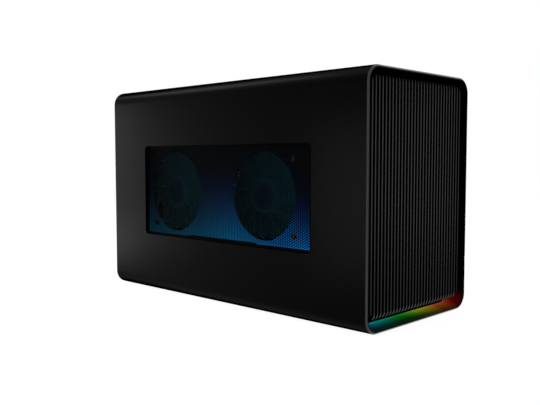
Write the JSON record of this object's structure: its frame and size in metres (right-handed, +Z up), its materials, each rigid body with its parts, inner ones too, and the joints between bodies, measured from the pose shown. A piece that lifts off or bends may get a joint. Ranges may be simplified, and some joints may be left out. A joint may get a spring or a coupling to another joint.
{
  "type": "external graphics card enclosure",
  "caption": "Black enclosure that holds a graphics card beside a computer: rounded metal sleeve with mesh side windows, finned front with a light strip, tray sliding out at the rear.",
  "frame": {"origin": "on the surface that the feet stand on, under the centre of the sleeve", "axes": "+X to the right seen from the front, +Y from the front to the rear, +Z up"},
  "size_m": [0.168, 0.374, 0.231],
  "materials": {
    "sleeve_metal": "satin black",
    "mesh_metal": "satin black, perforated",
    "grille_metal": "satin black",
    "light_plastic": "clear, lit from behind",
    "circuit": "black circuit board",
    "lamp_board": "white lamp strip",
    "foot_rubber": "matt black",
    "runner_plastic": "matt dark grey",
    "tray_metal": "matt black",
    "screw_steel": "dull steel",
    "port_steel": "bright steel",
    "bracket_steel": "brushed",
    "socket_plastic": "black",
    "fan_plastic": "black",
    "shroud_plastic": "dark grey",
    "cooler_metal": "raw",
    "backplate_metal": "matt black",
    "supply_metal": "matt black",
    "handle_metal": "satin black"
  },
  "bodies": {
    "sleeve": {"outer_sleeve": "sleeve_metal", "left_mesh": "mesh_metal", "right_mesh": "mesh_metal", "front_grille": "grille_metal", "light_guide": "light_plastic", "light_board": "lamp_board", "foot_left": "foot_rubber", "foot_right": "foot_rubber", "runner_left": "runner_plastic", "runner_right": "runner_plastic"},
    "tray": {"tray_floor": "tray_metal", "panel_screws": "screw_steel", "side_light_strip": "lamp_board", "front_bulkhead": "tray_metal", "front_fan_screws": "screw_steel", "front_fan_frame": "fan_plastic", "board_shelf": "tray_metal", "main_board": "circuit", "board_standoffs": "screw_steel", "board_screws": "screw_steel", "card_slot": "socket_plastic", "controller_heatsink": "cooler_metal", "board_power_socket": "socket_plastic", "host_port": "port_steel", "network_port": "port_steel", "data_ports": "port_steel", "rear_panel": "tray_metal", "psu_case": "supply_metal", "psu_cover": "supply_metal", "psu_screws": "screw_steel", "psu_inlet": "socket_plastic", "psu_switch_frame": "socket_plastic", "psu_circuit": "circuit", "psu_cradle": "tray_metal", "psu_fan_frame": "fan_plastic", "card_shroud": "shroud_plastic", "shroud_screws": "screw_steel", "card_fan_base_rear": "fan_plastic", "card_fan_base_front": "fan_plastic", "card_heatsink": "cooler_metal", "card_board": "circuit", "card_backplate": "backplate_metal", "card_bracket": "bracket_steel", "slot_cover": "bracket_steel", "bracket_thumbscrews": "screw_steel", "display_ports": "port_steel", "card_power_socket": "socket_plastic", "handle_bracket_left": "tray_metal", "handle_bracket_right": "tray_metal", "handle_pins": "screw_steel"},
    "handle": {"pull_handle": "handle_metal"},
    "rear_card_rotor": {"card_fan_rear": "fan_plastic"},
    "front_card_rotor": {"card_fan_front": "fan_plastic"},
    "front_rotor": {"front_fan_rotor": "fan_plastic"},
    "supply_rotor": {"psu_fan_rotor": "fan_plastic"},
    "mains_rocker": {"psu_rocker": "socket_plastic"},
    "card_latch": {"slot_latch": "socket_plastic"}
  },
  "joints": [
    {"name": "tray_slide", "type": "slide", "parent": "sleeve", "child": "tray", "axis": [0, 1, 0], "range_m": [0, 0.3]},
    {"name": "handle_fold", "type": "hinge", "parent": "tray", "child": "handle", "pos_m": [0, 0.18, 0.0362], "axis": [1, 0, 0], "range_deg": [0, 90]},
    {"name": "rear_card_fan_spin", "type": "hinge", "parent": "tray", "child": "rear_card_rotor", "pos_m": [-0.0625, 0.089, 0.11525], "axis": [1, 0, 0], "continuous": true},
    {"name": "front_card_fan_spin", "type": "hinge", "parent": "tray", "child": "front_card_rotor", "pos_m": [-0.0625, -0.049, 0.11525], "axis": [1, 0, 0], "continuous": true},
    {"name": "front_fan_spin", "type": "hinge", "parent": "tray", "child": "front_rotor", "pos_m": [0, -0.145, 0.11625], "axis": [0, 1, 0], "continuous": true},
    {"name": "supply_fan_spin", "type": "hinge", "parent": "tray", "child": "supply_rotor", "pos_m": [0.065, 0.1025, 0.1388], "axis": [1, 0, 0], "continuous": true},
    {"name": "mains_rocker_tip", "type": "hinge", "parent": "tray", "child": "mains_rocker", "pos_m": [0.041, 0.1685, 0.0938], "axis": [1, 0, 0], "range_deg": [0, 16]},
    {"name": "card_latch_press", "type": "hinge", "parent": "tray", "child": "card_latch", "pos_m": [-0.0248, 0.0235, 0.0513], "axis": [1, 0, 0], "range_deg": [0, 15]}
  ]
}
